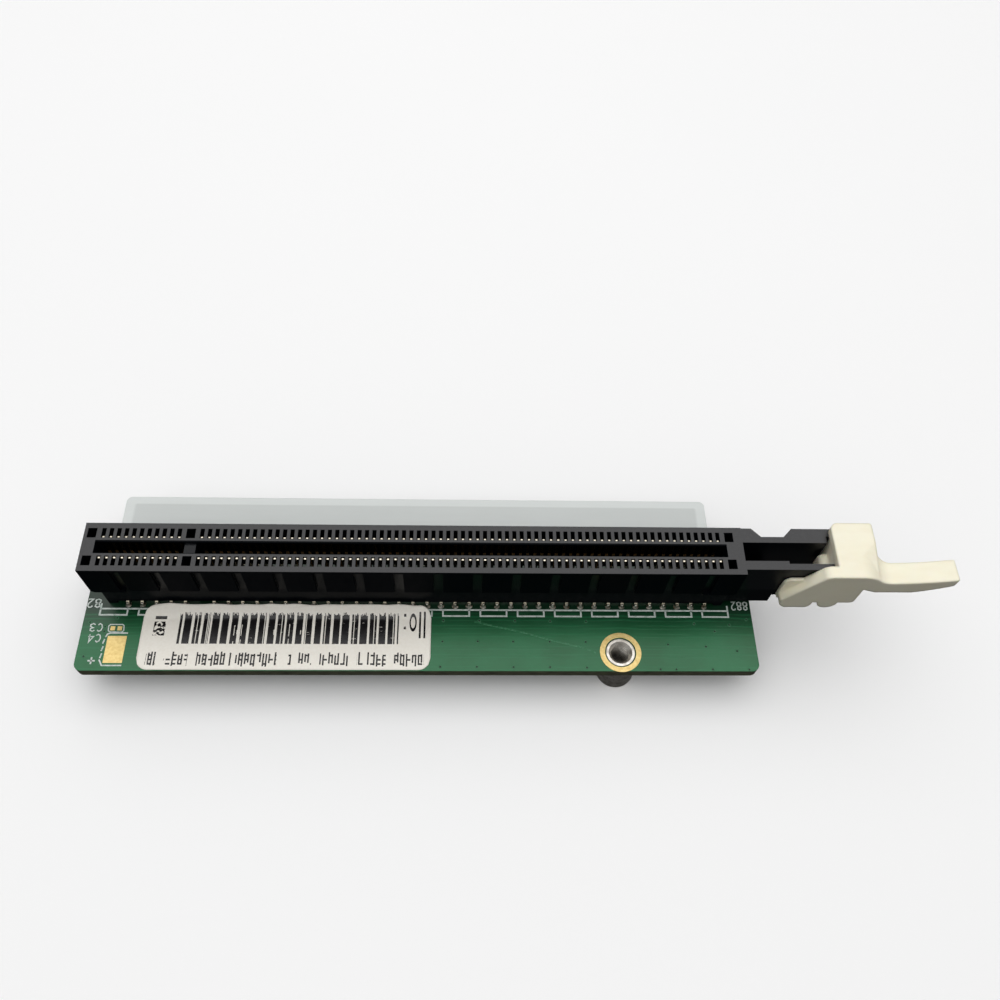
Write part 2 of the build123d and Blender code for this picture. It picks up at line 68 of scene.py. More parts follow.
class Sock:
    # an output socket that can be used in sums

    def __init__(self, finish, link):
        self.finish = finish
        self.link = link

    def math(self, operation, *others):
        return self.finish.node("ShaderNodeMath", {"operation": operation},
                                dict(enumerate((self,) + others)))

    def reflected(self, operation, other):
        return self.finish.node("ShaderNodeMath", {"operation": operation},
                                {0: other, 1: self})

    def __add__(self, other):
        return self.math("ADD", other)

    __radd__ = __add__

    def __sub__(self, other):
        return self.math("SUBTRACT", other)

    def __rsub__(self, other):
        return self.reflected("SUBTRACT", other)

    def __mul__(self, other):
        return self.math("MULTIPLY", other)

    __rmul__ = __mul__

    def __truediv__(self, other):
        return self.math("DIVIDE", other)

    def __rtruediv__(self, other):
        return self.reflected("DIVIDE", other)

    def __lt__(self, other):
        return self.math("LESS_THAN", other)

    def __gt__(self, other):
        return self.math("GREATER_THAN", other)

    def abs(self):
        return self.math("ABSOLUTE")

    def floor(self):
        return self.math("FLOOR")

    def wrap(self, period):
        # distance from the nearest multiple of the period
        return self.math("PINGPONG", period / 2)

    def within(self, low, high):
        return (self > low) * (self < high)

    def clamp(self):
        return self.finish.node("ShaderNodeClamp", {}, {"Value": self})

    def ramp(self, low, high):
        # 0 up to low, 1 from high on
        return self.finish.node("ShaderNodeMapRange", {}, {
            "Value": self, "From Min": low, "From Max": high})


class Finish:
    # one procedural material and the nodes behind it

    def __init__(self, name, **fixed):
        self.material = bpy.data.materials.new(name)
        self.material.use_nodes = True
        self.nodes = self.material.node_tree.nodes
        self.links = self.material.node_tree.links
        self.shader = self.nodes["Principled BSDF"]
        for socket, value in fixed.items():
            self.shader.inputs[socket.replace("_", " ")].default_value = value
        # object coordinates in millimetres
        metres = self.node("ShaderNodeTexCoord", output="Object")
        self.spot = self.node("ShaderNodeVectorMath", {"operation": "SCALE"},
                              {0: metres, "Scale": 1 / mm})

    def node(self, kind, settings=None, values=None, output=0):
        made = self.nodes.new(kind)
        for key, value in (settings or {}).items():
            setattr(made, key, value)
        for key, value in (values or {}).items():
            if isinstance(value, Sock):
                self.links.new(value.link, made.inputs[key])
            else:
                made.inputs[key].default_value = value
        return Sock(self, made.outputs[output])

    def axes(self):
        return [self.node("ShaderNodeSeparateXYZ", {}, {0: self.spot}, i) for i in range(3)]

    def facing(self):
        # how far a face points up, -1 to 1
        side = self.node("ShaderNodeNewGeometry", output="Normal")
        return self.node("ShaderNodeSeparateXYZ", {}, {0: side}, 2)

    def noise(self, scale, detail):
        # one scale for all directions, or one for each
        vector = self.spot
        if isinstance(scale, tuple):
            vector = self.node("ShaderNodeVectorMath", {"operation": "MULTIPLY"},
                               {0: self.spot, 1: scale})
            scale = 1.0
        return self.node("ShaderNodeTexNoise", {}, {
            "Vector": vector, "Scale": scale, "Detail": detail, "Roughness": 0.55})

    def dice(self, value):
        # a random number for each whole value; a number added to it draws another set
        return self.node("ShaderNodeTexWhiteNoise", {"noise_dimensions": "1D"}, {"W": value})

    def mix(self, amount, first, second):
        return self.node("ShaderNodeMix", {"data_type": "RGBA"},
                         {0: amount, 6: first, 7: second}, 2)

    def feed(self, socket, value):
        self.links.new(value.link, self.shader.inputs[socket])

    def bump(self, height, distance, strength, edgeRadius=0.0):
        # relief, over a small rounding of the edges that moulding and wear leave
        values = {"Height": height, "Distance": distance * mm, "Strength": strength}
        if edgeRadius:
            values["Normal"] = self.node("ShaderNodeBevel", {"samples": 6},
                                         {"Radius": edgeRadius * mm})
        self.feed("Normal", self.node("ShaderNodeBump", {}, values))


# Mesh helpers

def objectFrom(mesh, name, finish):
    data = bpy.data.meshes.new(name)
    mesh.normal_update()
    mesh.to_mesh(data)
    mesh.free()
    data.materials.append(finish.material)
    made = bpy.data.objects.new(name, data)
    bpy.context.scene.collection.objects.link(made)
    return made


def pieceFrom(mesh, name, finish, smooth=False):
    piece = objectFrom(mesh, name, finish)
    for face in piece.data.polygons:
        face.use_smooth = smooth
    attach(piece, "card")
    return piece


def rectangle(left, right, front, rear):
    return [(left, front), (right, front), (right, rear), (left, rear)]


def prism(mesh, outline, z0, z1):
    # a flat outline, anticlockwise, raised from z0 to z1
    low = [mesh.verts.new((x * mm, y * mm, z0 * mm)) for x, y in outline]
    high = [mesh.verts.new((x * mm, y * mm, z1 * mm)) for x, y in outline]
    count = len(outline)
    for i in range(count):
        j = (i + 1) % count
        mesh.faces.new((low[i], low[j], high[j], high[i]))
    mesh.faces.new(low[::-1])
    mesh.faces.new(high)


def ribbon(mesh, points, width, height, closed=False):
    # a flat line of mitred quads, raised from the board's top
    steepestMitre = 0.35
    count = len(points)
    sides = []
    for i, point in enumerate(points):
        before = points[i - 1] if closed or i > 0 else None
        after = points[(i + 1) % count] if closed or i < count - 1 else None
        turns = []
        for a, b in ((before, point), (point, after)):
            if a is not None and b is not None:
                turns.append((Vector(b) - Vector(a)).normalized())
        along = sum(turns, Vector((0, 0))).normalized()
        normal = Vector((-along.y, along.x))
        first = Vector((-turns[0].y, turns[0].x))
        reach = width / 2 / max(normal.dot(first), steepestMitre)
        sides.append((Vector(point) + normal * reach, Vector(point) - normal * reach))
    for i in range(count if closed else count - 1):
        j = (i + 1) % count
        outline = (sides[i][1], sides[j][1], sides[j][0], sides[i][0])
        prism(mesh, outline, boardTop, boardTop + height)


def circle(mesh, centre, radius, z, steps):
    ring = []
    for step in range(steps):
        turn = 2 * math.pi * step / steps
        ring.append(mesh.verts.new(((centre[0] + radius * math.cos(turn)) * mm,
                                    (centre[1] + radius * math.sin(turn)) * mm, z * mm)))
    return ring


def lathe(mesh, profile, centre, steps):
    # a profile of (radius, z) turned about Z; a radius of 0 closes with one point
    rings = []
    for radius, z in profile:
        if radius == 0:
            rings.append([mesh.verts.new((centre[0] * mm, centre[1] * mm, z * mm))])
        else:
            rings.append(circle(mesh, centre, radius, z, steps))
    for low, high in zip(rings, rings[1:]):
        for step in range(steps):
            after = (step + 1) % steps
            corners = []
            for ring, index in ((low, step), (low, after), (high, after), (high, step)):
                vert = ring[index if len(ring) > 1 else 0]
                if vert not in corners:
                    corners.append(vert)
            mesh.faces.new(corners)
    return rings


# Board: green solder mask, with painted shade darkening it beside the housing, and traces under it

boardLook = {"mask": rgb(24, 112, 66), "maskDeep": rgb(10, 98, 52), "under": rgb(1, 42, 21),
             "trace": rgb(34, 122, 76), "edge": rgb(98, 100, 76), "edgeDark": rgb(50, 52, 36),
             "rough": 0.24, "edgeRough": 0.35, "darkTo": 3.6, "lightFrom": 8.2,
             "tracePitch": 0.62, "traceHalf": 0.12, "traceFrom": 4.4, "traceSkips": 0.45,
             "traceShow": 0.3, "softEdge": 0.12}
maskFinish = Finish("SolderMask", IOR=1.5)
y = maskFinish.axes()[1]
tone = maskFinish.noise(0.12, 4)
green = maskFinish.mix(tone.ramp(0.35, 0.65), boardLook["maskDeep"], boardLook["mask"])
up = maskFinish.facing()
# painted shade: top faces take the dark "under" green within darkTo of the middle, beside the
# housing, fading to none by lightFrom
shaded = (1 - y.abs().ramp(boardLook["darkTo"], boardLook["lightFrom"])) * (up > 0.5)
green = maskFinish.mix(shaded, green, boardLook["under"])
lane = (y / boardLook["tracePitch"]).floor()
drift = maskFinish.noise((0.11, 0.0, 0.0), 1) * 1.2
trace = (y + drift).wrap(boardLook["tracePitch"]) < boardLook["traceHalf"]
trace = trace * (maskFinish.dice(lane) > boardLook["traceSkips"])
trace = trace * (y.abs() > boardLook["traceFrom"])
green = maskFinish.mix(trace * boardLook["traceShow"], green, boardLook["trace"])
bare = up.abs() < 0.5
layers = maskFinish.noise((0.6, 0.6, 7.0), 3)
fibre = maskFinish.mix(layers.ramp(0.35, 0.65), boardLook["edgeDark"], boardLook["edge"])
maskFinish.feed("Base Color", maskFinish.mix(bare, green, fibre))
rough = tone * 0.12 + boardLook["rough"] + bare * boardLook["edgeRough"]
maskFinish.feed("Roughness", rough.clamp())
ripple = maskFinish.noise((0.25, 1.4, 1.0), 3) * 0.5 + trace * 0.35
maskFinish.bump(ripple, 0.03, 0.35, boardLook["softEdge"])


# Housing: black moulding, with painted light making its up-facing top grey, gritty there, and dull
# on the raised pads

mouldLook = {"black": rgb(4, 7, 12), "top": rgb(35, 35, 37), "dust": rgb(40, 41, 42),
             "grit": rgb(60, 60, 62), "padRough": 0.5, "wallRough": 0.22, "topRough": 0.2,
             "recessGloss": 0.26, "lowGloss": 0.05, "grain": 9.0, "topFrom": 9.0,
             "padFromY": 3.3, "padFromZ": 4.0, "lowTo": 5.0, "keyX": 1.1, "keyY": 0.86,
             "keyShade": 0.75, "dustShow": 0.06, "gritShow": 0.35, "softEdge": 0.09}
blackFinish = Finish("BlackMoulding", IOR=1.08, Coat_IOR=1.5, Coat_Roughness=0.26)
x, y, z = blackFinish.axes()
grain = blackFinish.noise(mouldLook["grain"], 4)
patch = blackFinish.noise(0.35, 3)
keyTop = (x.abs() < mouldLook["keyX"]) * (y.abs() < mouldLook["keyY"])
# painted light: faces on top that point up are painted grey as if lit from above, and keyShade
# paints shade back over the recessed key's top
top = blackFinish.facing().ramp(0.75, 0.95) * (z > mouldLook["topFrom"])
top = top * (1 - keyTop * mouldLook["keyShade"])
dark = blackFinish.mix(top, mouldLook["black"], mouldLook["top"])
dark = blackFinish.mix(patch.ramp(0.45, 0.8) * mouldLook["dustShow"], dark, mouldLook["dust"])
gritty = top * grain.ramp(0.45, 0.62) * mouldLook["gritShow"]
dark = blackFinish.mix(gritty, dark, mouldLook["grit"])
blackFinish.feed("Base Color", dark)
pads = (y.abs() > mouldLook["padFromY"]) * (z > mouldLook["padFromZ"])
gloss = (z < mouldLook["lowTo"]) * (mouldLook["lowGloss"] - mouldLook["recessGloss"])
gloss = (1 - top) * (1 - pads) * (gloss + mouldLook["recessGloss"]) + top
blackFinish.feed("Coat Weight", gloss.clamp())
rough = pads * (mouldLook["padRough"] - mouldLook["wallRough"]) + top * mouldLook["topRough"]
rough = rough + grain * 0.14 + patch * 0.1 + mouldLook["wallRough"]
blackFinish.feed("Roughness", rough.clamp())
blackFinish.bump(grain, 0.02, 0.5, mouldLook["softEdge"])


# Latch: ivory moulding with rounded edges

latchLook = {"cream": rgb(253, 247, 224), "shade": rgb(247, 239, 213), "rough": 0.32,
             "scatter": (0.9 * mm, 0.6 * mm, 0.3 * mm), "softEdge": 0.55,
             "edge": 0.28, "edgeSteps": 3, "edgeAngle": 30}
creamFinish = Finish("IvoryMoulding", IOR=1.5, Subsurface_Weight=0.12,
                     Subsurface_Radius=latchLook["scatter"])
flow = creamFinish.noise((0.28, 0.7, 0.35), 3)
speck = creamFinish.noise(7.0, 3)
creamFinish.feed("Base Color", creamFinish.mix(flow.ramp(0.35, 0.75) * 0.6,
                                               latchLook["cream"], latchLook["shade"]))
creamFinish.feed("Roughness", (flow * 0.14 + speck * 0.06 + latchLook["rough"]).clamp())
creamFinish.bump(speck, 0.01, 0.4, latchLook["softEdge"])
edges = nodes["retention_latch"].modifiers.new("MouldedEdges", "BEVEL")
edges.width = latchLook["edge"] * mm
edges.segments = latchLook["edgeSteps"]
edges.limit_method = "ANGLE"
edges.angle_limit = math.radians(latchLook["edgeAngle"])
edges.harden_normals = True


# Contacts: tinned tails, a gilded wiping side in the slot, a painted highlight on a thin strip of
# each tip, and painted shade over the rest down in the pockets

contactLook = {"tip": rgb(226, 218, 200), "paintedPocketShade": rgb(92, 84, 66), "slot": rgb(206, 172, 120),
               "tinned": rgb(198, 190, 168), "rough": 0.16, "slotRough": 0.25,
               "tinnedTo": 3.0, "tipFrom": 10.8, "tipFull": 10.98, "tipHalf": 0.12,
               "slotHalf": 1.0, "slotFrom": 3.0, "slotTo": 10.6, "softEdge": 0.04}
contactFinish = Finish("ContactMetal", Metallic=1.0)
x, y, z = contactFinish.axes()
drawn = contactFinish.noise((12.0, 12.0, 1.2), 3)
offColumn = (x - columnsAfterKey[0]).wrap(1.0)
# painted highlight on a thin strip at each tip; elsewhere in the pocket the metal is painted dark
# as shade
tip = z.ramp(contactLook["tipFrom"], contactLook["tipFull"])
tip = tip * (offColumn < contactLook["tipHalf"])
inSlot = z.within(contactLook["slotFrom"], contactLook["slotTo"])
inSlot = inSlot * (y.abs() < contactLook["slotHalf"])
metal = contactFinish.mix(inSlot, contactLook["paintedPocketShade"], contactLook["slot"])
metal = contactFinish.mix(tip, metal, contactLook["tip"])
metal = contactFinish.mix(z < contactLook["tinnedTo"], metal, contactLook["tinned"])
contactFinish.feed("Base Color", metal)
rough = drawn * 0.22 + contactLook["rough"] + inSlot * contactLook["slotRough"]
contactFinish.feed("Roughness", rough.clamp())
contactFinish.bump(drawn, 0.006, 0.5, contactLook["softEdge"])


# Gilding of the ring, the bare pads and the edge contacts

gildLook = {"gold": rgb(224, 200, 138), "warm": rgb(208, 180, 116), "rough": 0.3}
gildFinish = Finish("Gilding", Metallic=1.0)
pebble = gildFinish.noise(2.4, 4)
gildFinish.feed("Base Color", gildFinish.mix(pebble.ramp(0.35, 0.7),
                                             gildLook["gold"], gildLook["warm"]))
gildFinish.feed("Roughness", (pebble * 0.2 + gildLook["rough"]).clamp())
gildFinish.bump(pebble, 0.02, 0.5)


# Standoff: turned steel, with painted shade darkening it down in the thread's grooves

steelLook = {"bright": rgb(232, 228, 220), "dull": rgb(176, 170, 160), "paintedGrooveShade": rgb(70, 66, 60),
             "rough": 0.16, "crest": 1.32, "root": 1.46, "boreTo": 1.6, "threadTop": -0.45,
             "softEdge": 0.08}
steelFinish = Finish("StandoffSteel", Metallic=1.0)
x, y, z = steelFinish.axes()
turned = steelFinish.noise((0.6, 0.6, 16.0), 3)
cloud = steelFinish.noise(1.1, 3)
tin = steelFinish.mix(cloud.ramp(0.35, 0.7), steelLook["bright"], steelLook["dull"])
acrossX = x - standoffAxis[0]
acrossY = y - standoffAxis[1]
fromAxis = (acrossX * acrossX + acrossY * acrossY).math("SQRT")
# painted shade: the bore is painted darker from the thread's crests out to its roots
paintedGrooveShade = fromAxis.ramp(steelLook["crest"], steelLook["root"]) * (fromAxis < steelLook["boreTo"])
paintedGrooveShade = paintedGrooveShade * (z < steelLook["threadTop"])
steelFinish.feed("Base Color", steelFinish.mix(paintedGrooveShade, tin, steelLook["paintedGrooveShade"]))
steelFinish.feed("Roughness", (turned * 0.2 + cloud * 0.1 + steelLook["rough"]).clamp())
steelFinish.bump(turned, 0.012, 0.4, steelLook["softEdge"])


# Guard: frosted plastic, paler where its end walls and rear wall stand under its top

guardLook = {"milk": rgb(198, 202, 200), "thick": rgb(220, 224, 222), "rough": 0.3,
             "scatter": (1.2 * mm, 1.2 * mm, 1.2 * mm), "rearFrom": 12.75, "rearTo": 13.0,
             "middle": 29.9, "endFrom": 41.9, "endTo": 42.3, "softEdge": 0.2}
guardFinish = Finish("FrostedGuard", IOR=1.45, Subsurface_Weight=0.25,
                     Subsurface_Radius=guardLook["scatter"])
x, y = guardFinish.axes()[:2]
drift = guardFinish.noise((0.12, 0.9, 0.9), 3)
frost = guardFinish.noise(3.2, 4)
rearWall = y.ramp(guardLook["rearFrom"], guardLook["rearTo"])
endWall = (x - guardLook["middle"]).abs().ramp(guardLook["endFrom"], guardLook["endTo"])
border = (rearWall + endWall).clamp()
guardFinish.feed("Base Color", guardFinish.mix(border * 0.7 + drift * 0.3,
                                               guardLook["milk"], guardLook["thick"]))
guardFinish.feed("Roughness", (drift * 0.16 + guardLook["rough"]).clamp())
guardFinish.bump(drift * 0.8 + frost * 0.2 + border * 0.12, 0.1, 0.3, guardLook["softEdge"])


# Board print and solder

inkLook = {"ink": rgb(214, 220, 216), "worn": rgb(120, 160, 138), "rough": 0.5}
inkFinish = Finish("BoardPrint")
wear = inkFinish.noise(1.6, 4)
fine = inkFinish.noise(11.0, 2)
inkFinish.feed("Base Color", inkFinish.mix((wear * fine).ramp(0.24, 0.42),
                                           inkLook["ink"], inkLook["worn"]))
inkFinish.feed("Roughness", (fine * 0.2 + inkLook["rough"]).clamp())
inkFinish.bump(fine, 0.01, 0.5)

solderLook = {"bright": rgb(228, 224, 214), "dull": rgb(112, 98, 76), "rough": 0.06}
solderFinish = Finish("Solder", Metallic=1.0)
lump = solderFinish.noise(1.3, 3)
grit = solderFinish.noise(8.0, 3)
solderFinish.feed("Base Color", solderFinish.mix(lump.ramp(0.4, 0.7),
                                                 solderLook["bright"], solderLook["dull"]))
solderFinish.feed("Roughness", (lump * 0.3 + grit * 0.1 + solderLook["rough"]).clamp())
solderFinish.bump(grit, 0.02, 0.4)

dressing = {"circuit_board": maskFinish, "slot_housing": blackFinish,
            "retention_latch": creamFinish,
            "front_outer_contacts": contactFinish, "front_inner_contacts": contactFinish,
            "rear_inner_contacts": contactFinish, "rear_outer_contacts": contactFinish,
            "threaded_standoff": steelFinish, "standoff_ring": gildFinish,
            "capacitor_pads": gildFinish, "edge_guard": guardFinish}
for name, finish in dressing.items():
    materials = nodes[name].data.materials
    materials.clear()
    materials.append(finish.material)
print("materials made")


# Board print: the slot's outline with its row of boxes, marks and plain digits

printLook = {"high": 0.016, "line": 0.24, "boxLeft": -14.22, "boxPitch": 16 / 3, "boxWidth": 3.75,
             "boxCount": 17, "boxRear": -3.92, "boxFront": -4.86, "tickRear": -3.1,
             "signStep": 1.25}
# text, left, top, height, width, line
printedSigns = [("882", 75.45, -2.5, 1.25, 0.7, 0.17), ("82", -16.25, -2.48, 1.25, 0.85, 0.18),
                ("(3", -15.2, -6.2, 1.16, 0.82, 0.16), ("(4", -15.16, -7.79, 1.15, 0.82, 0.16)]
# line, points: round the pads, with three dashes and a cross at their left
padLines = [(0.2, [(-9.8, -7.6), (-12.1, -7.6), (-12.55, -7.75), (-12.75, -8.2)]),
            (0.2, [(-12.8, -8.5), (-12.95, -9.2)]),
            (0.2, [(-12.8, -9.55), (-12.95, -10.25)]),
            (0.2, [(-12.8, -10.6), (-12.95, -11.3)]),
            (0.2, [(-13.0, -11.5), (-12.5, -12.35), (-9.85, -12.35)]),
            (0.22, [(-14.52, -11.67), (-13.52, -11.67)]),
            (0.22, [(-14.02, -11.17), (-14.02, -12.17)])]
smallPadLine = 0.15
smallPadLoop = [(-10.75, -6.32), (-12.4, -6.32), (-12.62, -6.55), (-12.55, -7.25), (-12.3, -7.45),
                (-10.65, -7.45), (-10.45, -7.2), (-10.52, -6.5)]
strokes = {"(": [(0.88, 0.82), (0.6, 1.0), (0.26, 0.86), (0.12, 0.5), (0.26, 0.14), (0.6, 0.0),
                 (0.88, 0.18)],
           "2": [(0.08, 0.8), (0.25, 0.97), (0.6, 1.0), (0.85, 0.8), (0.8, 0.55), (0.1, 0.0),
                 (0.88, 0.0)],
           "3": [(0.1, 0.85), (0.4, 1.0), (0.8, 0.88), (0.8, 0.64), (0.4, 0.53), (0.86, 0.38),
                 (0.86, 0.14), (0.45, 0.0), (0.08, 0.14)],
           "4": [(0.7, 0.0), (0.7, 1.0), (0.05, 0.3), (0.95, 0.3)],
           "8": [(0.5, 0.53), (0.18, 0.64), (0.14, 0.88), (0.5, 1.0), (0.84, 0.88), (0.8, 0.64),
                 (0.5, 0.53), (0.12, 0.4), (0.08, 0.12), (0.5, 0.0), (0.9, 0.12), (0.86, 0.4),
                 (0.5, 0.53)]}


def printSigns(mesh, text, left, top, height, width, line):
    # upside down, as read from the tongue's side
    for place, sign in enumerate(reversed(text)):
        right = left + (place * printLook["signStep"] + 1) * width
        path = [(right - sx * width, top - sy * height) for sx, sy in strokes[sign]]
        ribbon(mesh, path, line, printLook["high"])


ink = bmesh.new()
look = printLook
boxLefts = [look["boxLeft"] + index * look["boxPitch"] for index in range(look["boxCount"])]
right = boxLefts[-1] + look["boxWidth"]
ribbon(ink, [(look["boxLeft"], look["tickRear"]), (look["boxLeft"], look["boxRear"]),
             (right, look["boxRear"]), (right, look["tickRear"])], look["line"], look["high"])
for left in boxLefts:
    right = left + look["boxWidth"]
    ribbon(ink, [(left, look["boxRear"]), (left, look["boxFront"]),
                 (right, look["boxFront"]), (right, look["boxRear"])], look["line"], look["high"])
for sign in printedSigns:
    printSigns(ink, *sign)
ribbon(ink, smallPadLoop, smallPadLine, look["high"], closed=True)
for line, points in padLines:
    ribbon(ink, points, line, look["high"])
pieceFrom(ink, "board_print", inkFinish)
print("board print made")


# Vias: small plated holes under the mask, a low ring and a dark well each, on both faces

viaLook = {"ring": 0.26, "ringCrest": 0.221, "wellLip": 0.144, "well": 0.12, "floor": 0.132,
           "high": 0.03, "lipHigh": 0.024, "sunk": 0.004, "floorHigh": 0.006, "dip": 0.001,
           "ringSteps": 20, "wellSteps": 16,
           "mask": rgb(20, 92, 54), "maskPale": rgb(44, 118, 74),
           "hole": rgb(6, 26, 14), "holePale": rgb(12, 40, 22)}
viaSpots = [(-15.29, -5.98), (-11.67, -5.31), (-13.08, -6.66), (-13.07, -7.35), (-15.16, -11.03),
            (33.78, -8.72), (38.72, -8.7), (43.7, -8.72), (48.87, -8.72), (53.96, -8.75),
            (33.53, -12.47), (38.6, -12.47), (43.68, -12.5), (48.78, -12.5), (53.91, -12.55),
            (65.64, -9.1), (71.04, -9.4), (75.4, -10.08), (66.45, -12.8), (71.6, -12.8),
            (76.76, -12.83), (33.86, -5.56), (38.97, -5.56), (44.03, -5.56), (49.07, -5.58),
            (54.19, -5.62), (69.76, -5.9), (74.82, -6.08), (72.6, -7.06), (77.42, -5.23),
            (64.2, -12.8)]
ringFinish = Finish("ViaRing", Coat_Weight=0.3, Coat_Roughness=0.2)
tint = ringFinish.noise(2.0, 2)
ringFinish.feed("Base Color", ringFinish.mix(tint.ramp(0.3, 0.7),
                                             viaLook["mask"], viaLook["maskPale"]))
ringFinish.feed("Roughness", tint * 0.2 + 0.28)
wellFinish = Finish("ViaWell", IOR=1.45)
tint = wellFinish.noise(3.0, 2)
wellFinish.feed("Base Color", wellFinish.mix(tint.ramp(0.3, 0.7),
                                             viaLook["hole"], viaLook["holePale"]))
wellFinish.feed("Roughness", tint * 0.2 + 0.5)

rings = bmesh.new()
wells = bmesh.new()
for centre in viaSpots:
    for base, face in ((boardTop, 1), (boardBottom, -1)):
        ringProfile = [(viaLook["ring"], base - viaLook["sunk"] * face),
                       (viaLook["ringCrest"], base + viaLook["high"] * face),
                       (viaLook["wellLip"], base + viaLook["lipHigh"] * face),
                       (viaLook["well"], base + viaLook["sunk"] * face)]
        wellProfile = [(viaLook["floor"], base + viaLook["floorHigh"] * face),
                       (0, base + (viaLook["floorHigh"] - viaLook["dip"]) * face)]
        lathe(rings, ringProfile[::face], centre, viaLook["ringSteps"])
        lathe(wells, wellProfile[::face], centre, viaLook["wellSteps"])
pieceFrom(rings, "via_rings", ringFinish, smooth=True)
pieceFrom(wells, "via_wells", wellFinish)
print("vias made")


# Solder fillets round every tail, above and below the board

solderSizes = {"foot": 0.47, "rise": 0.62, "highest": 0.66, "neck": 0.17, "underFoot": 1.12,
               "underRise": 0.72, "steps": 14, "levels": 6, "hollow": 2.1, "uneven": 0.05,
               "lean": 0.1, "turnWithLean": 9, "tip": 0.06, "topSpread": (0.88, 1.1),
               "underSpread": (0.9, 1.08), "leans": (-0.5, 0.5), "seed": 7}
# which columns a row takes, and where it stands
tailRows = [(1, -3.25), (0, -1.25), (1, 1.25), (0, 3.25)]


def fillet(mesh, centre, z, face, foot, rise, lean):
    # a concave cone with a soft, slightly uneven skirt
    size = solderSizes
    steps = size["steps"]
    levels = size["levels"]
    rings = []
    for level in range(levels):
        t = level / (levels - 1)
        radius = size["neck"] + (foot - size["neck"]) * (1 - t) ** size["hollow"]
        ring = []
        for step in range(steps):
            turn = 2 * math.pi * step / steps
            wave = math.sin(2 * turn + lean * size["turnWithLean"])
            wave = 1 + size["uneven"] * wave * (1 - t)
            px = centre[0] + radius * wave * math.cos(turn) + lean * size["lean"] * t
            py = centre[1] + radius * wave * math.sin(turn)
            ring.append(mesh.verts.new((px * mm, py * mm, (z + face * rise * t) * mm)))
        rings.append(ring)
    tipHeight = z + face * (rise + size["tip"])
    tip = mesh.verts.new((centre[0] * mm, centre[1] * mm, tipHeight * mm))
    for low, high in zip(rings, rings[1:]):
        for step in range(steps):
            after = (step + 1) % steps
            mesh.faces.new((low[step], low[after], high[after], high[step])[::face])
    for step in range(steps):
        mesh.faces.new((rings[-1][step], rings[-1][(step + 1) % steps], tip)[::face])


draw = random.Random(solderSizes["seed"])
topSolder = bmesh.new()
underSolder = bmesh.new()
for parity, rowY in tailRows:
    for columnX in columnsBeforeKey[parity::2] + columnsAfterKey[1 - parity::2]:
        size = draw.uniform(*solderSizes["topSpread"])
        lean = draw.uniform(*solderSizes["leans"])
        fillet(topSolder, (columnX, rowY), boardTop, 1, solderSizes["foot"] * size,
               min(solderSizes["rise"] * size, solderSizes["highest"]), lean)
        size = draw.uniform(*solderSizes["underSpread"])
        fillet(underSolder, (columnX, rowY), boardBottom, -1,
               solderSizes["foot"] * solderSizes["underFoot"] * size,
               solderSizes["underRise"] * size, lean)
pieceFrom(topSolder, "solder_top", solderFinish, smooth=True)
pieceFrom(underSolder, "solder_under", solderFinish, smooth=True)
print("solder made")


# Edge contacts on both faces of the tongue

fingerSizes = {"width": 0.7, "front": 7.4, "rear": 12.9, "high": 0.035}
fingers = bmesh.new()
half = fingerSizes["width"] / 2
for columnX in columnsBeforeKey + columnsAfterKey:
    outline = rectangle(columnX - half, columnX + half, fingerSizes["front"], fingerSizes["rear"])
    prism(fingers, outline, boardTop, boardTop + fingerSizes["high"])
    prism(fingers, outline, boardBottom - fingerSizes["high"], boardBottom)
pieceFrom(fingers, "edge_fingers", gildFinish)
print("edge contacts made")


# Bare pads, the two small ones inside the outline that the board prints for them

padSizes = {"high": 0.036, "large": (-11.14, -10.02, 2.6, 3.95),
            "small": [(-12.0, -6.9, 0.62, 0.62), (-11.04, -6.9, 0.62, 0.62)]}
padMesh = bmesh.new()
for px, py, width, length in [padSizes["large"]] + padSizes["small"]:
    outline = rectangle(px - width / 2, px + width / 2, py - length / 2, py + length / 2)
    prism(padMesh, outline, boardTop, boardTop + padSizes["high"])
barePads = pieceFrom(padMesh, "bare_pads", gildFinish)
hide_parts("capacitor_pads")
print("pads made")


# A scratch in the solder mask, with a finer one beside it

scratchLook = {"pale": rgb(84, 148, 108), "faint": rgb(26, 112, 66), "high": 0.008, "rough": 0.4,
               "width": 0.08, "fineWidth": 0.04, "fineShift": 0.15}
scratchPath = [(38.27, -5.8), (41.81, -6.62), (45.33, -7.43), (48.82, -8.49), (53.37, -9.62),
               (55.31, -10.42)]
scratchFinish = Finish("MaskScratch")
worn = scratchFinish.noise(2.6, 3)
scratchFinish.feed("Base Color", scratchFinish.mix(worn.ramp(0.42, 0.6), scratchLook["faint"],
                                                   scratchLook["pale"]))
scratchFinish.feed("Roughness", worn * 0.2 + scratchLook["rough"])
scratch = bmesh.new()
ribbon(scratch, scratchPath, scratchLook["width"], scratchLook["high"])
ribbon(scratch, [(px, py + scratchLook["fineShift"]) for px, py in scratchPath],
       scratchLook["fineWidth"], scratchLook["high"])
pieceFrom(scratch, "mask_scratch", scratchFinish)
print("scratch made")


# Standoff with a real thread, in place of the plain bore

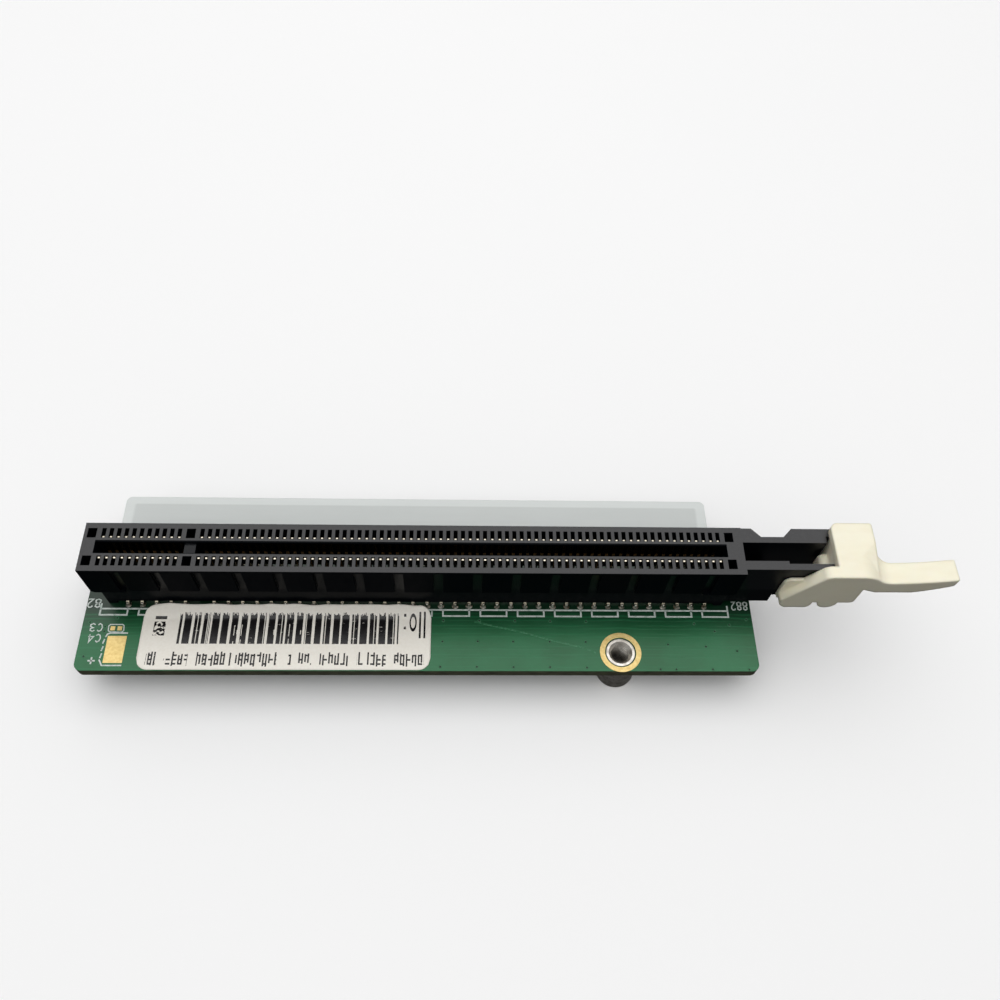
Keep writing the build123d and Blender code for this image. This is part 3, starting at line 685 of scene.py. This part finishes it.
screw = {"core": 1.25, "root": 1.52, "pitch": 0.5, "outer": 2.78, "neck": 2.1, "foot": -6.6,
         "mouth": 1.65, "mouthDeep": 0.4, "edge": 0.09, "steps": 48, "levels": 96,
         "fadeLevels": 5, "sharp": 1.25}
standoff = bmesh.new()
edge = screw["edge"]
outside = [(screw["core"], screw["foot"]), (screw["outer"] - edge, screw["foot"]),
           (screw["outer"], screw["foot"] + edge), (screw["outer"], boardBottom - edge),
           (screw["outer"] - edge, boardBottom), (screw["neck"], boardBottom),
           (screw["neck"], boardTop - edge), (screw["neck"] - edge, boardTop),
           (screw["mouth"], boardTop)]
outsideRings = lathe(standoff, outside, standoffAxis, screw["steps"])
threadTop = boardTop - screw["mouthDeep"]
levels = screw["levels"]
rows = [outsideRings[-1]]
for level in range(levels):
    height = threadTop + (screw["foot"] - threadTop) * level / levels
    fade = min(1.0, level / screw["fadeLevels"], (levels - level) / screw["fadeLevels"])
    row = []
    for step in range(screw["steps"]):
        turn = step / screw["steps"]
        phase = ((height / screw["pitch"]) - turn) % 1.0
        ridge = min(1.0, (1 - abs(2 * phase - 1)) * screw["sharp"])
        radius = screw["core"] + (screw["root"] - screw["core"]) * ridge * fade
        angle = 2 * math.pi * turn
        row.append(standoff.verts.new(((standoffAxis[0] + radius * math.cos(angle)) * mm,
                                       (standoffAxis[1] + radius * math.sin(angle)) * mm,
                                       height * mm)))
    rows.append(row)
rows.append(outsideRings[0])
for high, low in zip(rows, rows[1:]):
    for step in range(screw["steps"]):
        after = (step + 1) % screw["steps"]
        standoff.faces.new((high[step], high[after], low[after], low[step]))
bmesh.ops.recalc_face_normals(standoff, faces=standoff.faces)
barrel = pieceFrom(standoff, "standoff_turned", steelFinish)
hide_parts("threaded_standoff")
print("standoff made")


# Paper label, curled up where it meets the row of tails, with plain bars and strokes

labelSizes = {"left": -8.0, "right": 32.15, "front": -12.98, "rear": -3.55, "corner": 1.7,
              "thick": 0.09, "lift": 0.02, "rise": 1.1, "top": 1.3, "curlFrom": -5.6,
              "curl": 1.7, "wave": 0.8, "waveMore": 0.5, "waveRate": 0.35, "waveLane": 3.1,
              "columns": 150, "rows": 36}
labelLook = {"paper": rgb(250, 246, 236), "paperWarm": rgb(242, 236, 224), "ink": rgb(18, 16, 18),
             "rough": 0.24, "inkGloss": 0.12, "skips": 0.7}
barLook = {"pitch": 1.29, "gap": 0.19, "gapMore": 0.12, "streak": 0.1, "dry": 0.12, "left": -2.95,
           "right": 27.6, "front": -9.2, "rear": -4.55, "ragged": 0.5}
rowLook = {"pitch": 0.82, "level": 0.62, "front": -12.55, "rear": -10.35, "shortFront": 0.7,
           "shortRear": 0.6, "upright": (0.16, 0.7), "uprightSkips": 0.2, "across": (0.22, 0.64),
           "acrossSpan": (0.12, 0.86), "acrossInset": 0.1, "acrossSkips": 0.5,
           "groups": [(-6.75, -5.4), (-4.3, -1.1), (0.1, 11.0), (12.6, 15.8), (16.9, 20.95),
                      (22.0, 26.0), (27.1, 31.25)]}
markLook = {"knotX": (-6.4, -4.8), "knotY": (-8.0, -5.9), "dashX": (-6.35, -4.75),
            "dashY": (-5.55, -5.1), "barsX": [(30.45, 30.72), (31.1, 31.37)], "barsY": (-8.3, -4.4),
            "ovalX": 29.6, "ovalY": -5.95, "ovalWide": 0.5, "ovalTall": 1.35, "ovalInner": 0.4,
            "dotsX": (28.3, 28.62), "dotsY": [(-5.1, -4.7), (-6.95, -6.55)]}
labelFinish = Finish("LabelPaper", IOR=1.45)
x, y = labelFinish.axes()[:2]
pulp = labelFinish.noise(3.0, 4)
paper = labelFinish.mix(pulp.ramp(0.35, 0.7) * 0.6, labelLook["paper"], labelLook["paperWarm"])

# solid blocks with a ragged rear edge, and fine gaps where the printing ran dry
block = (x / barLook["pitch"]).floor()
gap = labelFinish.dice(block + 3.0) * barLook["gapMore"] + barLook["gap"]
streak = (x / barLook["streak"]).floor()
dryness = labelFinish.noise((0.0, 0.45, 0.0), 2) * barLook["dry"]
dry = labelFinish.dice(streak + 9.0) < dryness
rearEnd = labelFinish.dice(streak + 21.0) * -barLook["ragged"] + barLook["rear"]
bars = (x / barLook["pitch"] - block > gap) * x.within(barLook["left"], barLook["right"])
bars = bars * (1 - dry) * (y > barLook["front"]) * (y < rearEnd)

# a line of strokes in groups, none of them a letter
stroke = (x / (rowLook["pitch"] / 2)).floor()
inStroke = x / (rowLook["pitch"] / 2) - stroke
frontEnd = labelFinish.dice(stroke + 41.0) * rowLook["shortFront"] + rowLook["front"]
rearEnd = labelFinish.dice(stroke + 12.0) * -rowLook["shortRear"] + rowLook["rear"]
uprights = labelFinish.dice(stroke + 8.0) > rowLook["uprightSkips"]
uprights = uprights * inStroke.within(*rowLook["upright"]) * (y > frontEnd) * (y < rearEnd)
sign = (x / rowLook["pitch"]).floor()
inSign = x / rowLook["pitch"] - sign
level = (y / rowLook["level"]).floor()
inLevel = y / rowLook["level"] - level
across = labelFinish.dice(sign * 7.0 + level + 5.0) > rowLook["acrossSkips"]
across = across * inLevel.within(*rowLook["across"]) * inSign.within(*rowLook["acrossSpan"])
across = across * y.within(rowLook["front"] + rowLook["acrossInset"],
                           rowLook["rear"] - rowLook["acrossInset"])
groups = x.within(*rowLook["groups"][0])
for low, high in rowLook["groups"][1:]:
    groups = groups + x.within(low, high)
signs = (uprights + across).clamp() * groups

# plain marks at both ends: a dash over a dark knot, two bars, an oval ring and two dots
marks = labelFinish.noise(2.1, 2) > 0.5
marks = marks * x.within(*markLook["knotX"]) * y.within(*markLook["knotY"])
marks = marks + x.within(*markLook["dashX"]) * y.within(*markLook["dashY"])
for span in markLook["barsX"]:
    marks = marks + x.within(*span) * y.within(*markLook["barsY"])
ovalX = (x - markLook["ovalX"]) / markLook["ovalWide"]
ovalY = (y - markLook["ovalY"]) / markLook["ovalTall"]
marks = marks + (ovalX * ovalX + ovalY * ovalY).within(markLook["ovalInner"], 1.0)
for span in markLook["dotsY"]:
    marks = marks + x.within(*markLook["dotsX"]) * y.within(*span)

smear = labelFinish.noise((0.5, 6.0, 1.0), 3)
inked = (bars + signs + marks).clamp() * (smear < labelLook["skips"])
labelFinish.feed("Base Color", labelFinish.mix(inked, paper, labelLook["ink"]))
rough = pulp * 0.2 + labelLook["rough"] - inked * labelLook["inkGloss"]
labelFinish.feed("Roughness", rough.clamp())
labelFinish.bump(pulp, 0.02, 0.4)


def labelHeight(px, py):
    # flat on the board, then up onto the solder with a slow wave along the edge
    size = labelSizes
    t = max(0.0, (py - size["curlFrom"]) / (size["rear"] - size["curlFrom"]))
    swell = noise.noise(Vector((px * size["waveRate"], size["waveLane"], 0.0)))
    rise = size["rise"] * t ** size["curl"] * (size["wave"] + size["waveMore"] * swell)
    return size["lift"] + max(0.0, min(rise, size["top"]))


def labelDrawIn(px):
    # how far the front and rear edges draw in at the rounded corners
    corner = labelSizes["corner"]
    near = min(px - labelSizes["left"], labelSizes["right"] - px)
    if near >= corner:
        return 0.0
    return corner - math.sqrt(max(0.0, corner ** 2 - (corner - near) ** 2))


sheetMesh = bmesh.new()
grid = []
size = labelSizes
for column in range(size["columns"] + 1):
    px = size["left"] + (size["right"] - size["left"]) * column / size["columns"]
    drawIn = labelDrawIn(px)
    front = size["front"] + drawIn
    length = size["rear"] - size["front"] - 2 * drawIn
    line = []
    for row in range(size["rows"] + 1):
        py = front + length * row / size["rows"]
        line.append(sheetMesh.verts.new((px * mm, py * mm, labelHeight(px, py) * mm)))
    grid.append(line)
for a, b in zip(grid, grid[1:]):
    for row in range(size["rows"]):
        sheetMesh.faces.new((a[row], b[row], b[row + 1], a[row + 1]))
labelPiece = pieceFrom(sheetMesh, "paper_label", labelFinish, smooth=True)
shell = labelPiece.modifiers.new("Thickness", "SOLIDIFY")
shell.thickness = size["thick"] * mm
shell.offset = 1.0
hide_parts("label")
print("label made")


# Floor under the standoff's foot, and a pale round wall far behind everything

stageLook = {"floorZ": -6.62, "floorHalf": 1500, "floorThick": 5, "pale": grey(0.975),
             "paler": grey(0.99), "wallRadius": 1450, "wallTop": 1500, "wallSteps": 96,
             "wallGlow": grey(0.86), "wallGlowMore": grey(0.89), "wallDark": grey(0.02),
             "wallDarkMore": grey(0.03)}


def backgroundFrom(mesh, name, finish):
    # seen by the camera, and left out of what the part reflects
    made = objectFrom(mesh, name, finish)
    made.visible_diffuse = False
    made.visible_glossy = False
    return made


floorFinish = Finish("PaleFloor", Roughness=0.9)
floorFinish.feed("Base Color", floorFinish.mix(floorFinish.noise(0.01, 2), stageLook["pale"],
                                               stageLook["paler"]))
floorMesh = bmesh.new()
half = stageLook["floorHalf"]
prism(floorMesh, rectangle(-half, half, -half, half),
      stageLook["floorZ"] - stageLook["floorThick"], stageLook["floorZ"])
floorPiece = backgroundFrom(floorMesh, "floor", floorFinish)

wallFinish = Finish("PaleWall", Roughness=1.0, Emission_Strength=1.0)
haze = wallFinish.noise(0.004, 2)
wallFinish.feed("Base Color", wallFinish.mix(haze, stageLook["wallDark"],
                                             stageLook["wallDarkMore"]))
wallFinish.feed("Emission Color", wallFinish.mix(haze, stageLook["wallGlow"],
                                                 stageLook["wallGlowMore"]))
wallMesh = bmesh.new()
lathe(wallMesh, [(stageLook["wallRadius"], stageLook["floorZ"] - 1),
                 (stageLook["wallRadius"], stageLook["wallTop"])], (0, 0), stageLook["wallSteps"])
wallPiece = backgroundFrom(wallMesh, "wall", wallFinish)
wallPiece.visible_transmission = False
wallPiece.visible_shadow = False


# Light and camera

lightLook = {"skyHigh": 0.75, "skyLow": 0.06,
             "key": {"at": (30, 140, 480), "aim": (35, 0, 0), "size": 900, "watts": 1.9},
             "fill": {"at": (-160, -260, 320), "aim": (35, 0, 0), "size": 260, "watts": 0.06}}
world = bpy.data.worlds.new("Studio")
bpy.context.scene.world = world
world.use_nodes = True
sky = world.node_tree
backdrop = sky.nodes["Background"]
backdrop.inputs["Color"].default_value = grey(1.0)
direction = sky.nodes.new("ShaderNodeTexCoord")
upAxis = sky.nodes.new("ShaderNodeSeparateXYZ")
glow = sky.nodes.new("ShaderNodeMapRange")
glow.inputs["To Min"].default_value = lightLook["skyLow"]
glow.inputs["To Max"].default_value = lightLook["skyHigh"]
sky.links.new(direction.outputs["Generated"], upAxis.inputs[0])
sky.links.new(upAxis.outputs["Z"], glow.inputs["Value"])
sky.links.new(glow.outputs[0], backdrop.inputs["Strength"])


def softLight(name, look):
    data = bpy.data.lights.new(name, "AREA")
    data.shape = "DISK"
    data.size = look["size"] * mm
    data.energy = look["watts"]
    lamp = bpy.data.objects.new(name, data)
    lamp.location = Vector(look["at"]) * mm
    beam = Vector(look["aim"]) - Vector(look["at"])
    lamp.rotation_euler = beam.to_track_quat("-Z", "Y").to_euler()
    bpy.context.scene.collection.objects.link(lamp)


softLight("key_light", lightLook["key"])
softLight("fill_light", lightLook["fill"])

cameraLook = {"at": (35.7425, -60.1315, 125.1566), "turn": (30.7945, -2.4488, -0.8513),
              "lens": 34.31, "sensor": 36, "nearest": 1}
cameraData = bpy.data.cameras.new("view")
cameraData.lens = cameraLook["lens"]
cameraData.sensor_width = cameraLook["sensor"]
cameraData.clip_start = cameraLook["nearest"] * mm
camera = bpy.data.objects.new("view", cameraData)
camera.location = Vector(cameraLook["at"]) * mm
camera.rotation_euler = [math.radians(angle) for angle in cameraLook["turn"]]
bpy.context.scene.collection.objects.link(camera)
bpy.context.scene.camera = camera
bpy.context.scene.view_settings.view_transform = "Standard"
print("stage made")
